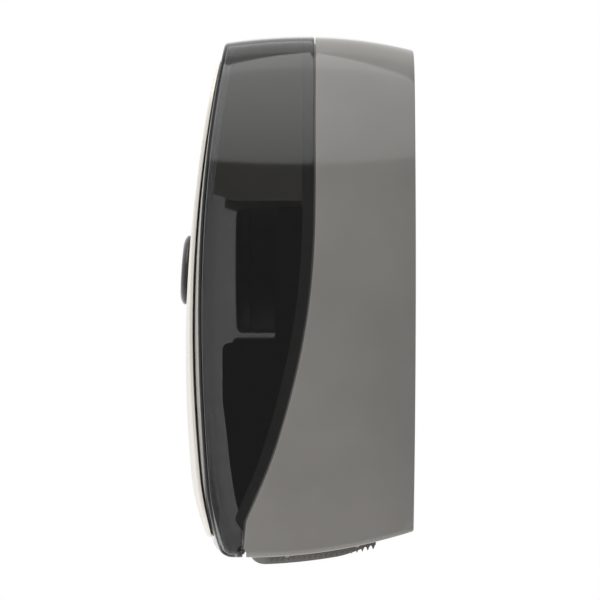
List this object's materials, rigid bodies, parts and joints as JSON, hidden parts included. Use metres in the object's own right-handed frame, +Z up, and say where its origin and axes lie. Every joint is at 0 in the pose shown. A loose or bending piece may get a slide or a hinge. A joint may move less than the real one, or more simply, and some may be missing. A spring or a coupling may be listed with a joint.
{
  "type": "wall mounted toilet tissue dispenser",
  "caption": "Wall mounted dispenser for a jumbo toilet tissue roll, with a smoke drop-down cover, a round core hub, a key lock and toothed tear strips under its floor.",
  "frame": {"origin": "where the roll's axis meets the wall, on the rear face of the back plate", "axes": "+Z up, -Y out from the wall towards the front, +X to the right seen from the front"},
  "size_m": [0.2716, 0.1473, 0.3347],
  "materials": {
    "housing_grey": "moulded ABS, polished, warm grey",
    "hood_grey": "moulded ABS, fine satin, light grey",
    "black_plastic": "moulded ABS, satin, black",
    "black_gloss": "moulded ABS, polished, black",
    "smoke": "moulded smoke polycarbonate, polished, see-through",
    "panel_satin": "moulded ABS, satin, pale warm grey",
    "chrome": "bright chrome plate",
    "strip_steel": "dark coated spring steel, stamped",
    "zinc_steel": "zinc plated steel"
  },
  "bodies": {
    "housing": {"rear_housing": "housing_grey", "back_plate": "black_plastic", "inner_chassis": "black_plastic", "roll_hood_right": "hood_grey", "roll_hood_left": "hood_grey", "mouth_collar": "housing_grey", "hub_post": "black_plastic", "drag_washer": "zinc_steel", "hub_washer": "zinc_steel", "hub_screw": "zinc_steel", "strike_hook": "zinc_steel", "strike_screw_1": "zinc_steel", "strike_screw_2": "zinc_steel", "post_screw_1": "zinc_steel", "post_screw_2": "zinc_steel", "post_screw_3": "zinc_steel", "tear_strip_right": "strip_steel", "strip_rivet_right_1": "zinc_steel", "strip_rivet_right_2": "zinc_steel", "hinge_pin_right": "zinc_steel", "hood_screw_right": "zinc_steel", "housing_screw_right_1": "zinc_steel", "housing_screw_right_2": "zinc_steel", "chassis_screw_right_1": "zinc_steel", "chassis_screw_right_2": "zinc_steel", "tear_strip_left": "strip_steel", "strip_rivet_left_1": "zinc_steel", "strip_rivet_left_2": "zinc_steel", "hinge_pin_left": "zinc_steel", "hood_screw_left": "zinc_steel", "housing_screw_left_1": "zinc_steel", "housing_screw_left_2": "zinc_steel", "chassis_screw_left_1": "zinc_steel", "chassis_screw_left_2": "zinc_steel"},
    "hub": {"roll_hub": "black_plastic", "hub_cap": "black_plastic"},
    "cover": {"front_cover": "smoke", "front_panel": "panel_satin", "badge_base": "black_gloss", "badge_disc": "chrome", "badge_clip": "zinc_steel", "lock_sleeve": "chrome", "lock_nut": "zinc_steel"},
    "lock": {"lock_plug": "chrome", "lock_cam": "zinc_steel", "cam_screw": "zinc_steel"}
  },
  "joints": [
    {"name": "cover_swing", "type": "hinge", "parent": "housing", "child": "cover", "pos_m": [0, -0.1066, -0.17552], "axis": [1, 0, 0], "range_deg": [0, 90]},
    {"name": "hub_spin", "type": "hinge", "parent": "housing", "child": "hub", "pos_m": [0, 0, 0], "axis": [0, -1, 0], "continuous": true},
    {"name": "lock_turn", "type": "hinge", "parent": "cover", "child": "lock", "pos_m": [0, -0.081, 0.135], "axis": [0, 0, -1], "range_deg": [0, 90]}
  ]
}
